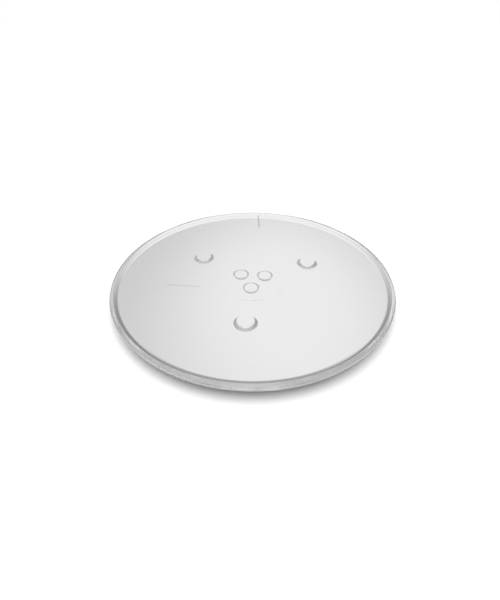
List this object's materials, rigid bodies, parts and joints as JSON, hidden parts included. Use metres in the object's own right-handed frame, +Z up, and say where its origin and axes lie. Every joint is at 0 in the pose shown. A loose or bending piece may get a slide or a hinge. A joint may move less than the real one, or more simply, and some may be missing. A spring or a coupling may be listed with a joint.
{
  "type": "microwave turntable plate",
  "caption": "Round clear pressed-glass turntable plate for a microwave oven, with a raised rim, and with drive lugs, feet, a hub pad and a roller track underneath.",
  "frame": {"origin": "centre of the plate, in the plane of the foot ends that it stands on", "axes": "+Z up along the turning axis; in the picture +X points right and +Y points away from the camera"},
  "size_m": [0.27, 0.27, 0.0145],
  "materials": {
    "pressed_glass": "clear, fire-polished"
  },
  "bodies": {
    "root": {"turntable_plate": "pressed_glass"}
  },
  "joints": []
}
